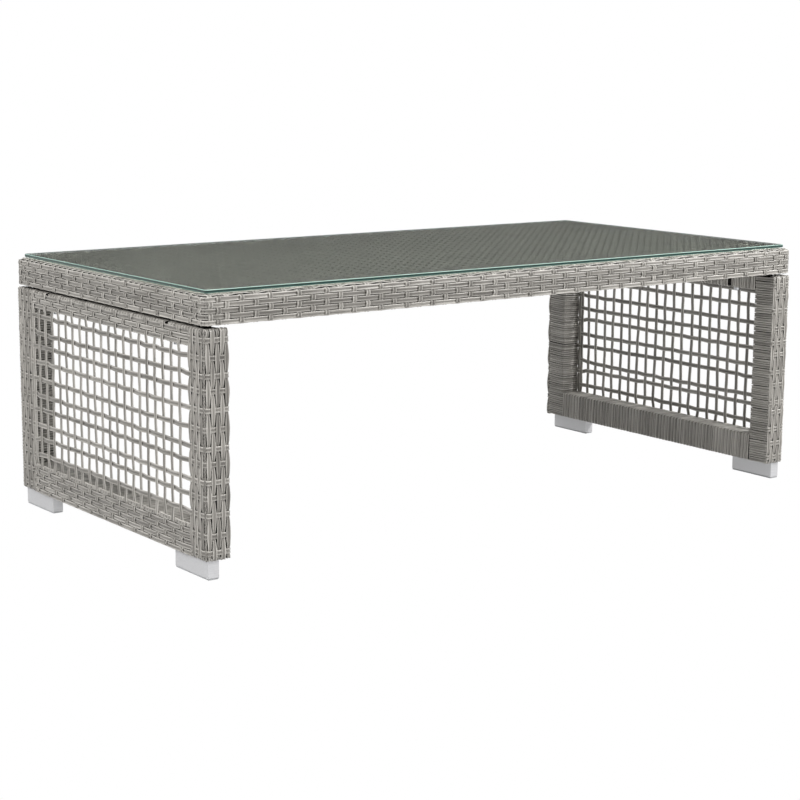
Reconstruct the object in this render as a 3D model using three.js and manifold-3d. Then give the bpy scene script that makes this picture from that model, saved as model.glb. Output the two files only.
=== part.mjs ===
// A garden coffee table: flat plastic strands woven over a coated aluminium tube frame. A long tabletop
// with a loose glass plate stands on two end panels of open weave, each on two metal feet.
// Millimetres. +X runs along the length, +Y to the rear, +Z up, and the floor is z = 0.
import * as THREE from "three";
import { mergeVertices } from "three/addons/utils/BufferGeometryUtils.js";
import Module from "manifold-3d";

const wasm = await Module();
wasm.setup();

// Overall size
const tableLength = 1200;
const tableWidth = 600;
const tableHeight = 420;

// Build rules that every piece follows
const gap = 0.3; // between pieces that touch
const skin = 3.2; // woven skin over a tube
const tubeWall = 1.6;
const grooveDepth = 0.9; // between neighbouring strands
const grooveHalfWidth = 1;
const cutOverrun = 5; // how far a cutting body runs past what it cuts
const roundSegments = 24;

// Glass and what it lies on
const glassThickness = 5;
const glassInset = 10;
const glassCornerRadius = 4;
const glassEdgeBevel = 0.6;
const bumperThickness = 1;
const bumperRadius = 5;
const bumperInset = 22;

// Tabletop
const apronTop = tableHeight - glassThickness - bumperThickness - 2 * gap;
const apronBottom = 369.5;
const apronWidth = 40;
const apronStrands = 5;
const apronCornerRadius = 10;
const apronEdgeRadius = 7;
const deckThickness = 3;
const deckDrop = 0.4; // deck surface below the top of the apron
const crossBarWidth = 20;
const crossBarHeight = 25;
const crossBarPlaces = { left: -300, middle: 0, right: 300 };

// End panels
const seam = 3.5; // under the tabletop
const panelTop = apronBottom - seam;
const panelBottom = 28.5;
const panelThickness = 41;
const panelEdgeRadius = 6;
const postWidth = 47;
const postStrands = 5;
const bottomRailHeight = 49;
const bottomRailStrands = 6;
const topRailHeight = 29;
const topRailStrands = 3;

// Lattice
const latticeThickness = 2.6;
const latticeInset = 2;
const uprightCount = 20;
const uprightPitch = 23.8;
const firstUpright = -228; // counted from the front
const edgeUprights = [242.5, 249.5]; // a close pair beside the rear post
const uprightWidth = 5.5;
const levelCount = 10;
const lowestLevel = 92; // height of the lowest level strand
const levelPitch = 26;
const levelWidth = 7.5;

// Feet
const footThickness = 18;
const footLength = 95;
const footFaceInset = 6.4;
const footEndInset = 5;
const footPocketWall = 3;
const footPocketDepth = 18;
const glideThickness = 2;
const glideInset = 0.5;

// Fixings between an end panel and the tabletop
const boltSpacing = 386;
const boltRadius = 4;
const boltClearance = 4.6;
const boltHeadRadius = 6.5;
const boltHeadHeight = 6;
const boltSocketRadius = 3.4;
const boltSocketDepth = 3;
const boltEnd = 388;
const nutRadius = 8;
const nutHeight = 8;
const nutBore = 4.3;
const spacerRadius = 10;

const surface = (color, roughness, metalness) => new THREE.MeshStandardMaterial({ color, roughness, metalness });
const coatedAluminium = () => surface(0x3a3835, 0.6, 0.2);
const wicker = () => surface(0xa39c94, 0.6, 0);
const deckWicker = () => surface(0x8d8780, 0.65, 0);
const footMetal = () => surface(0xc4c6c9, 0.5, 1);
const steel = () => surface(0x9fa1a4, 0.35, 1);
const blackPlastic = () => surface(0x1c1c1d, 0.6, 0);
const clearPlastic = () => surface(0xdfe6e4, 0.2, 0);
const greyPlastic = () => surface(0x9a9da0, 0.6, 0);
const tintedGlass = () => new THREE.MeshStandardMaterial({
  color: 0x9fc4b8, roughness: 0.05, metalness: 0, transparent: true, opacity: 0.35,
});

// ---- Solids ----

function solid(geometry) {
  geometry.deleteAttribute("normal");
  geometry.deleteAttribute("uv");
  const merged = mergeVertices(geometry);
  return new wasm.Manifold(new wasm.Mesh({
    numProp: 3,
    vertProperties: merged.getAttribute("position").array,
    triVerts: Uint32Array.from(merged.index.array),
  }));
}

function meshOf(name, body, material) {
  const { vertProperties, triVerts } = body.getMesh();
  const geometry = new THREE.BufferGeometry();
  geometry.setAttribute("position", new THREE.BufferAttribute(Float32Array.from(vertProperties), 3));
  geometry.setIndex(new THREE.BufferAttribute(Uint32Array.from(triVerts), 1));
  geometry.computeVertexNormals();
  const mesh = new THREE.Mesh(geometry, material);
  mesh.name = name;
  return mesh;
}

// A box from its lowest to its highest corner, grown on every side by margin.
function box([x0, y0, z0], [x1, y1, z1], margin = 0) {
  const geometry = new THREE.BoxGeometry(x1 - x0 + 2 * margin, y1 - y0 + 2 * margin, z1 - z0 + 2 * margin);
  geometry.translate((x0 + x1) / 2, (y0 + y1) / 2, (z0 + z1) / 2);
  return solid(geometry);
}

// An upright cylinder, or a prism when it has few segments.
function cylinder(radius, [x, y], z0, z1, segments = roundSegments) {
  const geometry = new THREE.CylinderGeometry(radius, radius, z1 - z0, segments);
  geometry.rotateX(Math.PI / 2);
  geometry.translate(x, y, (z0 + z1) / 2);
  return solid(geometry);
}

// An outline in plan, raised from z0 to z1.
function raise(points, z0, z1) {
  const shape = new THREE.Shape(points);
  const geometry = new THREE.ExtrudeGeometry(shape, { depth: z1 - z0, bevelEnabled: false });
  geometry.translate(0, 0, z0);
  return solid(geometry);
}

// A bar with the given section. Along x the section is seen with y across, and along y with x across.
function bar(points, axis, halfLength, across, height) {
  const geometry = new THREE.ExtrudeGeometry(new THREE.Shape(points), {
    depth: 2 * halfLength,
    bevelEnabled: false,
  });
  geometry.translate(across, height, -halfLength);
  const x = new THREE.Vector3(1, 0, 0);
  const y = new THREE.Vector3(0, 1, 0);
  const z = new THREE.Vector3(0, 0, 1);
  const turn = new THREE.Matrix4();
  if (axis === "x") turn.makeBasis(y, z, x);
  else turn.makeBasis(x, z, y.clone().negate());
  geometry.applyMatrix4(turn);
  return solid(geometry);
}

// A rectangle round the origin, anticlockwise from its lower left corner. Each corner has its own
// radius, and each side, starting with the lower one, shows a number of strands with grooves between.
function strandOutline(width, height, radii, strands) {
  const arcSteps = 3;
  const turns = [[-1, -1], [1, -1], [1, 1], [-1, 1]];
  const arcs = turns.map(([sideways, upwards], corner) => {
    const radius = radii[corner];
    const centre = new THREE.Vector2(sideways * (width / 2 - radius), upwards * (height / 2 - radius));
    const start = Math.PI + (corner * Math.PI) / 2;
    return Array.from({ length: arcSteps + 1 }, (_, step) => {
      const angle = start + (step / arcSteps) * (Math.PI / 2);
      return new THREE.Vector2(Math.cos(angle), Math.sin(angle)).multiplyScalar(radius).add(centre);
    });
  });
  return arcs.flatMap((arc, corner) => {
    const next = arcs[(corner + 1) % arcs.length];
    return [...arc, ...grooves(arc.at(-1), next[0], strands[corner])];
  });
}

// V-shaped grooves that part one side of an anticlockwise outline into strands.
function grooves(from, to, strands) {
  const along = to.clone().sub(from).normalize();
  const inward = new THREE.Vector2(-along.y, along.x);
  const points = [];
  for (let strand = 1; strand < strands; strand++) {
    const middle = from.clone().lerp(to, strand / strands);
    points.push(middle.clone().addScaledVector(along, -grooveHalfWidth));
    points.push(middle.clone().addScaledVector(inward, grooveDepth));
    points.push(middle.clone().addScaledVector(along, grooveHalfWidth));
  }
  return points;
}

function rectangle(width, height) {
  const x = width / 2;
  const y = height / 2;
  return [[-x, -y], [x, -y], [x, y], [-x, y]].map(([px, py]) => new THREE.Vector2(px, py));
}

// The band in plan that a mitred frame side may fill, along the table's front (long side) or its
// left end (short side). Its ends run at 45 degrees into the corners.
function mitre(side) {
  const slip = gap / Math.SQRT2;
  const halfLong = side === "long" ? tableLength / 2 : tableWidth / 2;
  const edge = side === "long" ? tableWidth / 2 : tableLength / 2;
  const outer = halfLong - slip;
  const plan = [[-outer, -edge], [outer, -edge], [outer - apronWidth, -edge + apronWidth],
    [-outer + apronWidth, -edge + apronWidth]];
  const turned = side === "long" ? plan : plan.map(([along, across]) => [across, -along]);
  const points = turned.map(([px, py]) => new THREE.Vector2(px, py));
  return raise(points, apronBottom - cutOverrun, tableHeight);
}

// ---- Tabletop ----

const apronHeight = apronTop - apronBottom;
const apronMiddle = (apronTop + apronBottom) / 2;
const topTubeWidth = apronWidth - 2 * (skin + gap);
const topTubeHeight = apronHeight - 2 * (skin + gap);
const topTubeBottom = apronMiddle - topTubeHeight / 2;
const boltX = -tableLength / 2 + panelThickness / 2;
const boltPlaces = [-boltSpacing / 2, boltSpacing / 2].map((y) => [boltX, y]);

function crossBarBox(x, inset) {
  const reach = tableWidth / 2 - skin - gap - topTubeWidth - gap;
  const top = apronTop - deckDrop - deckThickness - gap;
  const halfWidth = crossBarWidth / 2 - inset;
  const length = inset > 0 ? reach + cutOverrun : reach;
  return [[x - halfWidth, -length, top - crossBarHeight + inset], [x + halfWidth, length, top - inset]];
}

function crossBar(x) {
  return box(...crossBarBox(x, 0)).subtract(box(...crossBarBox(x, tubeWall)));
}

// A frame side at the front ("x") or at the left ("y"), before its ends are mitred.
function topBar(axis, section) {
  const along = axis === "x" ? tableLength / 2 : tableWidth / 2;
  const edge = axis === "x" ? tableWidth / 2 : tableLength / 2;
  return bar(section, axis, along, -edge + apronWidth / 2, apronMiddle);
}

function topTube(axis) {
  const outside = topBar(axis, rectangle(topTubeWidth, topTubeHeight));
  const inside = topBar(axis, rectangle(topTubeWidth - 2 * tubeWall, topTubeHeight - 2 * tubeWall));
  const tube = outside.subtract(inside).intersect(mitre(axis === "x" ? "long" : "short"));
  return axis === "x" ? tube : boltHoles(tube, topTubeBottom, topTubeBottom + tubeWall);
}

function apron(axis) {
  const radii = [panelEdgeRadius / 2, panelEdgeRadius / 2, panelEdgeRadius / 2, apronEdgeRadius];
  const outside = topBar(axis, strandOutline(apronWidth, apronHeight, radii, [1, 1, 1, apronStrands]));
  const inside = topBar(axis, rectangle(apronWidth - 2 * skin, apronHeight - 2 * skin));
  const corners = Array(4).fill(apronCornerRadius);
  const plan = strandOutline(tableLength, tableWidth, corners, [1, 1, 1, 1]);
  const rounded = raise(plan, apronBottom, tableHeight);
  const cover = outside.subtract(inside).intersect(mitre(axis === "x" ? "long" : "short")).intersect(rounded);
  if (axis === "y") return boltHoles(cover, apronBottom, apronBottom + skin);
  return Object.values(crossBarPlaces).reduce(
    (cut, x) => cut.subtract(box(...crossBarBox(x, 0), gap)),
    cover,
  );
}

function boltHoles(body, z0, z1) {
  return boltPlaces.reduce(
    (cut, place) => cut.subtract(cylinder(boltClearance, place, z0 - gap, z1 + gap)),
    body,
  );
}

function deck() {
  const halfLength = tableLength / 2 - apronWidth - gap;
  const halfWidth = tableWidth / 2 - apronWidth - gap;
  const top = apronTop - deckDrop;
  return box([-halfLength, -halfWidth, top - deckThickness], [halfLength, halfWidth, top]);
}

function glassTop() {
  const length = tableLength - 2 * (glassInset + glassEdgeBevel);
  const width = tableWidth - 2 * (glassInset + glassEdgeBevel);
  const outline = strandOutline(length, width, Array(4).fill(glassCornerRadius), [1, 1, 1, 1]);
  const geometry = new THREE.ExtrudeGeometry(new THREE.Shape(outline), {
    depth: glassThickness - 2 * glassEdgeBevel,
    bevelSize: glassEdgeBevel,
    bevelThickness: glassEdgeBevel,
    bevelSegments: 1,
  });
  geometry.translate(0, 0, tableHeight - glassThickness + glassEdgeBevel);
  return solid(geometry);
}

function bumpers() {
  const x = tableLength / 2 - bumperInset;
  const y = tableWidth / 2 - bumperInset;
  const places = {
    front_left: [-x, -y], front_middle: [0, -y], front_right: [x, -y],
    rear_left: [-x, y], rear_middle: [0, y], rear_right: [x, y],
  };
  return Object.entries(places).map(([name, place]) => {
    const body = cylinder(bumperRadius, place, apronTop + gap, apronTop + gap + bumperThickness, 16);
    return meshOf(`bumper_${name}`, body, clearPlastic());
  });
}

function halfTurned(...meshes) {
  const group = new THREE.Group();
  group.add(...meshes);
  group.rotation.z = Math.PI;
  return group;
}

function tabletop() {
  const group = new THREE.Group();
  group.add(meshOf("top_frame_front", topTube("x"), coatedAluminium()));
  group.add(meshOf("top_frame_left", topTube("y"), coatedAluminium()));
  group.add(meshOf("woven_apron_front", apron("x"), wicker()));
  group.add(meshOf("woven_apron_left", apron("y"), wicker()));
  group.add(halfTurned(
    meshOf("top_frame_rear", topTube("x"), coatedAluminium()),
    meshOf("top_frame_right", topTube("y"), coatedAluminium()),
    meshOf("woven_apron_rear", apron("x"), wicker()),
    meshOf("woven_apron_right", apron("y"), wicker()),
  ));
  for (const [name, x] of Object.entries(crossBarPlaces)) {
    group.add(meshOf(`top_cross_bar_${name}`, crossBar(x), coatedAluminium()));
  }
  group.add(meshOf("woven_deck", deck(), deckWicker()));
  group.add(...bumpers());
  group.add(meshOf("glass_top", glassTop(), tintedGlass()));
  return group;
}

// ---- End panels, built at the left end; the right one is turned half round ----

const outerX = -tableLength / 2;
const innerX = outerX + panelThickness;
const panelMiddleX = (outerX + innerX) / 2;
const tubeDepth = panelThickness - 2 * (skin + gap);
const postInnerY = tableWidth / 2 - postWidth;
const postTubeWidth = postWidth - 2 * (skin + gap);
const railReach = postInnerY + skin; // the rails' tubes reach the posts' tubes
const tubeBottom = panelBottom + skin + gap;
const tubeTop = panelTop - skin - gap;
const bottomRailTop = panelBottom + bottomRailHeight;
const topRailBottom = panelTop - topRailHeight;

function tubeBox(y, halfLength, z0, z1) {
  const x0 = panelMiddleX - tubeDepth / 2;
  const x1 = panelMiddleX + tubeDepth / 2;
  return [[x0, y - halfLength, z0], [x1, y + halfLength, z1]];
}

// The same box less the tube's wall, and run out past its open ends along the given axis.
function tubeHollow([low, high], axis) {
  const shrink = [tubeWall, tubeWall, tubeWall];
  shrink[axis] = -cutOverrun;
  return box(low.map((value, i) => value + shrink[i]), high.map((value, i) => value - shrink[i]));
}

function postTubeBox(end) {
  return tubeBox(end * (postInnerY + postWidth / 2), postTubeWidth / 2, tubeBottom, tubeTop);
}

function bottomRailTubeBox() {
  return tubeBox(0, railReach, tubeBottom, bottomRailTop - skin - gap);
}

function topRailTubeBox() {
  return tubeBox(0, railReach, topRailBottom + skin + gap, tubeTop);
}

function footBox(end) {
  const x = outerX + footFaceInset;
  const near = tableWidth / 2 - footEndInset - footLength;
  const far = tableWidth / 2 - footEndInset;
  const [y0, y1] = end < 0 ? [-far, -near] : [near, far];
  return [[x, y0, glideThickness + gap], [x + footThickness, y1, tubeBottom - gap]];
}

function postTube(end) {
  const outside = postTubeBox(end);
  return box(...outside).subtract(tubeHollow(outside, 2));
}

function bottomRailTube() {
  const outside = bottomRailTubeBox();
  return box(...outside).subtract(tubeHollow(outside, 1));
}

function topRailTube() {
  const outside = topRailTubeBox();
  const tube = box(...outside).subtract(tubeHollow(outside, 1));
  return boltHoles(tube, outside[0][2], outside[1][2]);
}

// Upright strands show on the post's outer face and on its end face.
function postSkin(end) {
  const endRadius = panelEdgeRadius;
  const radii = end < 0 ? [endRadius, endRadius, 2, endRadius] : [endRadius, 2, endRadius, endRadius];
  const strands = end < 0 ? [postStrands, 1, 1, postStrands] : [1, 1, postStrands, postStrands];
  const middle = new THREE.Vector2(panelMiddleX, end * (postInnerY + postWidth / 2));
  const outline = strandOutline(panelThickness, postWidth, radii, strands).map((point) => point.add(middle));
  return raise(outline, panelBottom, panelTop)
    .subtract(box(...postTubeBox(end), gap))
    .subtract(box(...bottomRailTubeBox(), gap))
    .subtract(box(...topRailTubeBox(), gap))
    .subtract(box(...footBox(end), gap));
}

// Level strands show on the rail's outer face.
function railSkin(z0, z1, strands) {
  const radii = [2, 2, 2, 2];
  const outline = strandOutline(panelThickness, z1 - z0, radii, [1, 1, 1, strands]);
  return bar(outline, "y", postInnerY - gap, panelMiddleX, (z0 + z1) / 2);
}

function bottomRailSkin() {
  const [low, high] = bottomRailTubeBox();
  return railSkin(panelBottom, bottomRailTop, bottomRailStrands)
    .subtract(box(low, high, gap))
    .subtract(box(...footBox(-1), gap))
    .subtract(box(...footBox(1), gap));
}

function topRailSkin() {
  const [low, high] = topRailTubeBox();
  const cover = railSkin(topRailBottom, panelTop, topRailStrands).subtract(box(low, high, gap));
  return boltHoles(cover, topRailBottom, panelTop);
}

// The open stretches that strands of one width leave between low and high, run out past both ends.
function between(places, width, low, high) {
  const starts = [low - cutOverrun, ...places.map((place) => place + width / 2)];
  const ends = [...places.map((place) => place - width / 2), high + cutOverrun];
  return starts.map((start, i) => [start, ends[i]]);
}

// A plate with a window between each two strands. rearward is 1 where the panel's own +Y side is
// the table's rear, and -1 where it is the front.
function lattice(rearward) {
  const x0 = outerX + latticeInset;
  const x1 = x0 + latticeThickness;
  const halfWidth = postInnerY - gap;
  const low = bottomRailTop + gap;
  const high = topRailBottom - gap;
  const even = Array.from({ length: uprightCount }, (_, upright) => firstUpright + upright * uprightPitch);
  const uprights = [...even, ...edgeUprights].map((place) => rearward * place).sort((a, b) => a - b);
  const levels = Array.from({ length: levelCount }, (_, level) => lowestLevel + level * levelPitch);
  let plate = box([x0, -halfWidth, low], [x1, halfWidth, high]);
  for (const [y0, y1] of between(uprights, uprightWidth, -halfWidth, halfWidth)) {
    for (const [z0, z1] of between(levels, levelWidth, low, high)) {
      plate = plate.subtract(box([x0 - cutOverrun, y0, z0], [x1 + cutOverrun, y1, z1]));
    }
  }
  return plate;
}

// A cast block, hollow from below.
function foot(end) {
  const [low, high] = footBox(end);
  const pocketLow = [low[0] + footPocketWall, low[1] + footPocketWall, low[2] - cutOverrun];
  const pocketHigh = [high[0] - footPocketWall, high[1] - footPocketWall, low[2] + footPocketDepth];
  return box(low, high).subtract(box(pocketLow, pocketHigh));
}

function glide(end) {
  const [low, high] = footBox(end);
  const near = [low[0] + glideInset, low[1] + glideInset, 0];
  const far = [high[0] - glideInset, high[1] - glideInset, glideThickness];
  return box(near, far);
}

// Screwed upwards, with a hexagonal socket in its head.
function bolt(place) {
  const headTop = topRailBottom - gap;
  const headBottom = headTop - boltHeadHeight;
  return cylinder(boltHeadRadius, place, headBottom, headTop)
    .add(cylinder(boltRadius, place, headTop - boltHeadHeight / 2, boltEnd))
    .subtract(cylinder(boltSocketRadius, place, headBottom - cutOverrun, headBottom + boltSocketDepth, 6));
}

function spacer(place) {
  return cylinder(spacerRadius, place, panelTop + gap, apronBottom - gap)
    .subtract(cylinder(boltClearance, place, panelTop - cutOverrun, apronBottom + cutOverrun));
}

function nut(place) {
  const bottom = topTubeBottom + tubeWall + gap;
  return cylinder(nutRadius, place, bottom, bottom + nutHeight, 6)
    .subtract(cylinder(nutBore, place, bottom - cutOverrun, bottom + nutHeight + cutOverrun));
}

function endPanel(side) {
  const turned = side === "right";
  const group = new THREE.Group();
  group.rotation.z = turned ? Math.PI : 0;
  group.add(meshOf(`${side}_top_rail`, topRailTube(), coatedAluminium()));
  group.add(meshOf(`${side}_bottom_rail`, bottomRailTube(), coatedAluminium()));
  group.add(meshOf(`${side}_weave_top_rail`, topRailSkin(), wicker()));
  group.add(meshOf(`${side}_weave_bottom_rail`, bottomRailSkin(), wicker()));
  group.add(meshOf(`${side}_lattice`, lattice(turned ? -1 : 1), wicker()));
  for (const end of [-1, 1]) {
    const endName = (end < 0) !== turned ? "front" : "rear";
    const name = `${side}_${endName}`;
    const place = boltPlaces[end < 0 ? 0 : 1];
    group.add(meshOf(`${name}_post`, postTube(end), coatedAluminium()));
    group.add(meshOf(`${side}_weave_${endName}_post`, postSkin(end), wicker()));
    group.add(meshOf(`${name}_foot`, foot(end), footMetal()));
    group.add(meshOf(`${name}_glide`, glide(end), greyPlastic()));
    group.add(meshOf(`${name}_bolt`, bolt(place), steel()));
    group.add(meshOf(`${name}_spacer`, spacer(place), blackPlastic()));
    group.add(meshOf(`${name}_nut`, nut(place), steel()));
  }
  return group;
}

const table = new THREE.Group();
table.add(tabletop());
table.add(endPanel("left"));
table.add(endPanel("right"));

export default table;
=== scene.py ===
import math

import bmesh
import bpy
import numpy as np
from mathutils import Matrix, Vector


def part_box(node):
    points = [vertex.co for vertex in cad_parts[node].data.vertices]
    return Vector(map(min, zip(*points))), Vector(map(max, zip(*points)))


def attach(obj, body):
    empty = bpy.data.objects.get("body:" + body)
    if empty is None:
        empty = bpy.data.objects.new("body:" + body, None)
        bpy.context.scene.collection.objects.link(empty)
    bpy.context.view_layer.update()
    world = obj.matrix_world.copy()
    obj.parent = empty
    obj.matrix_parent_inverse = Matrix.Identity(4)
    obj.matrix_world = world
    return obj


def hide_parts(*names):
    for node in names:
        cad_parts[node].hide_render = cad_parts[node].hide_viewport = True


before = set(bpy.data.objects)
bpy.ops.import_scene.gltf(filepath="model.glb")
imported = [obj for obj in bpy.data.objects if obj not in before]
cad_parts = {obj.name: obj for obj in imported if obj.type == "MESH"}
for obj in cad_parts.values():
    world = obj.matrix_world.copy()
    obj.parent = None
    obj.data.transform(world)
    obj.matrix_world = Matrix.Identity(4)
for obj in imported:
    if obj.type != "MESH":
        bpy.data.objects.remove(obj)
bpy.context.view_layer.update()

MM = 0.001
SEED = 7
PANEL_SEEDS = {"left": SEED + 50, "right": SEED + 100}


def node_box(node):
    """Lowest and highest corner of a CAD node, in millimetres."""
    low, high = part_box(node)
    return np.array(low) / MM, np.array(high) / MM


# ---- Sizes: strands here, everything else from the frame ----

STRAND_WIDTH = 7.25
STRAND_THICKNESS = 1.4
ROW_PITCH = 8.3  # between close strands lying side by side
MIDDLE_DEPTH = 1.5  # of the weave's middle layer below the CAD skin
WRAP_PITCH = 8.15  # of strands wound round a tube
WRAP_WIDTH = 7.2
WRAP_TURN = 6.5  # how far the strands wound round a rail come down its outer face
SWAY, DECK_SWAY = 0.3, 0.15  # how far strands wander aside, on the apron and posts and on the deck
GRAIN_LENGTH = 900.0  # of the grain that every strand starts at a random place in

# Height of a strand's centre over the weave's middle layer, in strand thicknesses. Close strands lie
# side by side and hide the tube, and spare strands cross them with wide spaces between.
CLOSE_OVER, CLOSE_UNDER, CLOSE_REST = 0.6, -0.9, 0.2
SPARE_OVER, SPARE_UNDER = 0.85, -0.9
WRAP_OVER, WRAP_UNDER = 0.75, -1.3  # deck strands that wrap over the tabletop's left and right edges
WRAPPED_ROW = -0.3  # the rows that run along those edges between them
DECK_OVER, DECK_UNDER = 1.15, -1.3
OPEN_UPRIGHT, OPEN_LEVEL = 0.2, 0.85  # through the lattice, where mostly the level strands bend

# Sections, seen end on: across in half widths, out in thicknesses, clockwise from the left edge.
# A strand has a bead along each edge and a shallow hollow between them. PLAIN is the same with fewer points.
BEADED = np.array([
    (-1.0, -0.25), (-0.92, 0.3), (-0.72, 0.5), (-0.46, 0.16), (0.0, 0.0), (0.46, 0.16),
    (0.72, 0.5), (0.92, 0.3), (1.0, -0.25), (0.74, -0.5), (-0.74, -0.5),
])
PLAIN = np.array([
    (-1.0, -0.1), (-0.66, 0.48), (0.0, 0.3), (0.66, 0.48), (1.0, -0.1), (0.7, -0.5), (-0.7, -0.5),
])

apron_low, apron_high = node_box("woven_apron_front")
glass_low, glass_high = node_box("glass_top")
post_low, post_high = node_box("left_weave_front_post")
spacer_low, spacer_high = node_box("left_rear_spacer")

HALF_LENGTH = -node_box("woven_apron_left")[0][0]
HALF_WIDTH = -apron_low[1]
APRON_BOTTOM, APRON_TOP = apron_low[2], apron_high[2]
APRON_WIDTH = apron_high[1] - apron_low[1]
PANEL_BOTTOM, PANEL_TOP = post_low[2], post_high[2]
PANEL_DEPTH = post_high[0] - post_low[0]
POST_INNER = -post_high[1]
RAIL_TOP = node_box("left_weave_bottom_rail")[1][2]
RAIL_UNDER = node_box("left_weave_top_rail")[0][2]
SPACER_PLACE = (spacer_low[1] + spacer_high[1]) / 2


# ---- Ribbons ----

def eased(at, keys, values):
    """Values that pass smoothly through (keys, values), level at each key."""
    keys, values = np.asarray(keys, float), np.asarray(values, float)
    left = np.clip(np.searchsorted(keys, at, side="right") - 1, 0, len(keys) - 2)
    share = np.clip((at - keys[left]) / (keys[left + 1] - keys[left]), 0, 1)
    blend = (1 - np.cos(np.pi * share)) / 2
    return values[left] * (1 - blend) + values[left + 1] * blend


def stations(start, end, keys, values, bend=2.1, run=8.0):
    """Places along a strand: its keys, in steps of bend where its height changes and of run where not."""
    inside = [(key, value) for key, value in zip(keys, values) if start < key < end]
    stops = [(start, inside[0][1]), *inside, (end, inside[-1][1])]
    places = [np.array([start])]
    for (near, low), (far, high) in zip(stops, stops[1:]):
        parts = max(1, math.ceil((far - near) / (run if low == high else bend)))
        places.append(near + (far - near) * (np.arange(parts) + 1) / parts)
    return np.concatenate(places)


def add_object(name, data):
    made = bpy.data.objects.new(name, data)
    bpy.context.collection.objects.link(made)
    return made


def register(piece, material, slot, body, *nodes):
    """Gives a piece its material, says which body it rides on, and hides the CAD nodes that it stands for.
    The slot argument is not used."""
    piece.data.materials.append(material)
    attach(piece, body)
    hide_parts(*nodes)


def unit(vectors):
    return vectors / np.maximum(np.linalg.norm(vectors, axis=1, keepdims=True), 1e-9)


class Weave:
    """Ribbons gathered into one mesh. A mirrored weave is turned over through x = 0 as it is made."""

    def __init__(self, name, mirrored=False):
        self.name = name
        self.mirrored = mirrored
        self.points, self.loops, self.sizes, self.coords, self.tones = [], [], [], [], []
        self.count = 0

    def add(self, path, normals, rng, width=STRAND_WIDTH, section=BEADED, closed=False):
        """One ribbon along path, its broad outer face along normals."""
        if closed:
            tangents = np.roll(path, -1, axis=0) - np.roll(path, 1, axis=0)
        else:
            tangents = np.gradient(path, axis=0)
        tangents = unit(tangents)
        across = unit(np.cross(tangents, normals))
        outward = np.cross(across, tangents)
        rings, around = len(path), len(section)
        half = np.broadcast_to(np.asarray(width, float) / 2, (rings,))
        ring = (path[:, None, :] + across[:, None, :] * (half[:, None] * section[None, :, 0])[..., None]
                + outward[:, None, :] * (section[:, 1] * STRAND_THICKNESS)[None, :, None])
        here = np.arange(rings if closed else rings - 1)[:, None] * around
        following = (here + around) % (rings * around)
        side = np.arange(around)
        beside = (side + 1) % around
        corners = (here + side, here + beside, following + beside, following + side)
        quads = np.stack(corners, axis=-1).reshape(-1, 4) + self.count
        self.loops.append(quads.ravel())
        self.sizes.append(np.full(len(quads), 4))
        if not closed:
            last = (rings - 1) * around
            self.loops.append(np.arange(around)[::-1] + self.count)
            self.loops.append(np.arange(around) + last + self.count)
            self.sizes.append(np.full(2, around))
        steps = np.linalg.norm(np.diff(path, axis=0), axis=1)
        along = np.concatenate([[0], np.cumsum(steps)]) + rng.uniform(0, GRAIN_LENGTH)
        u = np.broadcast_to(section[:, 0][None, :], (rings, around))
        v = np.broadcast_to(along[:, None], (rings, around))
        self.coords.append(np.stack([u, v], axis=-1).reshape(-1, 2))
        self.tones.append(np.full(rings * around, rng.uniform()))
        self.points.append(ring.reshape(-1, 3))
        self.count += rings * around

    def build(self, material, *nodes):
        """Makes the piece, which stands for nodes."""
        points = np.concatenate(self.points) * MM
        loops = np.concatenate(self.loops)
        sizes = np.concatenate(self.sizes)
        starts = np.concatenate([[0], np.cumsum(sizes)[:-1]])
        if self.mirrored:
            points = points * np.array([-1.0, 1.0, 1.0])
            order = (starts + sizes).repeat(sizes) - 1 - (np.arange(len(loops)) - starts.repeat(sizes))
            loops = loops[order]
        mesh = bpy.data.meshes.new(self.name)
        mesh.vertices.add(len(points))
        mesh.vertices.foreach_set("co", points.ravel())
        mesh.loops.add(len(loops))
        mesh.loops.foreach_set("vertex_index", loops.astype(np.int32))
        mesh.polygons.add(len(sizes))
        mesh.polygons.foreach_set("loop_start", starts.astype(np.int32))
        mesh.polygons.foreach_set("use_smooth", sizes == 4)
        coords = np.concatenate(self.coords)[loops]
        mesh.uv_layers.new(name="strand").data.foreach_set("uv", coords.ravel())
        tone = mesh.attributes.new("tone", "FLOAT", "POINT")
        tone.data.foreach_set("value", np.concatenate(self.tones))
        mesh.update()
        mesh.validate()
        register(add_object(self.name, mesh), material, "wicker", "table", *nodes)


def close_keys(crossings, half_dip=2.8, reach=8.5):
    """Height keys of a close strand: it lies flat, and dips only under the spare strands that cover it."""
    keys, values = [], []
    for place, over in crossings:
        if over:
            keys.append(place)
            values.append(CLOSE_OVER)
        else:
            keys.extend([place - reach, place - half_dip, place + half_dip, place + reach])
            values.extend([CLOSE_REST, CLOSE_UNDER, CLOSE_UNDER, CLOSE_REST])
    order = np.argsort(keys)
    return np.array(keys)[order], np.array(values)[order] * STRAND_THICKNESS


# ---- Tabletop: rows run round all four sides, uprights run round the tube ----

TOP_EDGE_RADIUS = 7.0
LOW_EDGE_RADIUS = 3.0
CORNER_RADIUS = 10.0
TIGHTEST_TURN = 2.0  # of a row round a corner of the tabletop
TURN_STEPS = 6  # in a rounded turn
QUARTER = math.pi / 2

OUTER_RISE = APRON_TOP - APRON_BOTTOM - TOP_EDGE_RADIUS - LOW_EDGE_RADIUS
UNDER_RUN = APRON_WIDTH - 2 * LOW_EDGE_RADIUS
LOW_ARC = LOW_EDGE_RADIUS * QUARTER
TOP_ARC = TOP_EDGE_RADIUS * QUARTER

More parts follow.
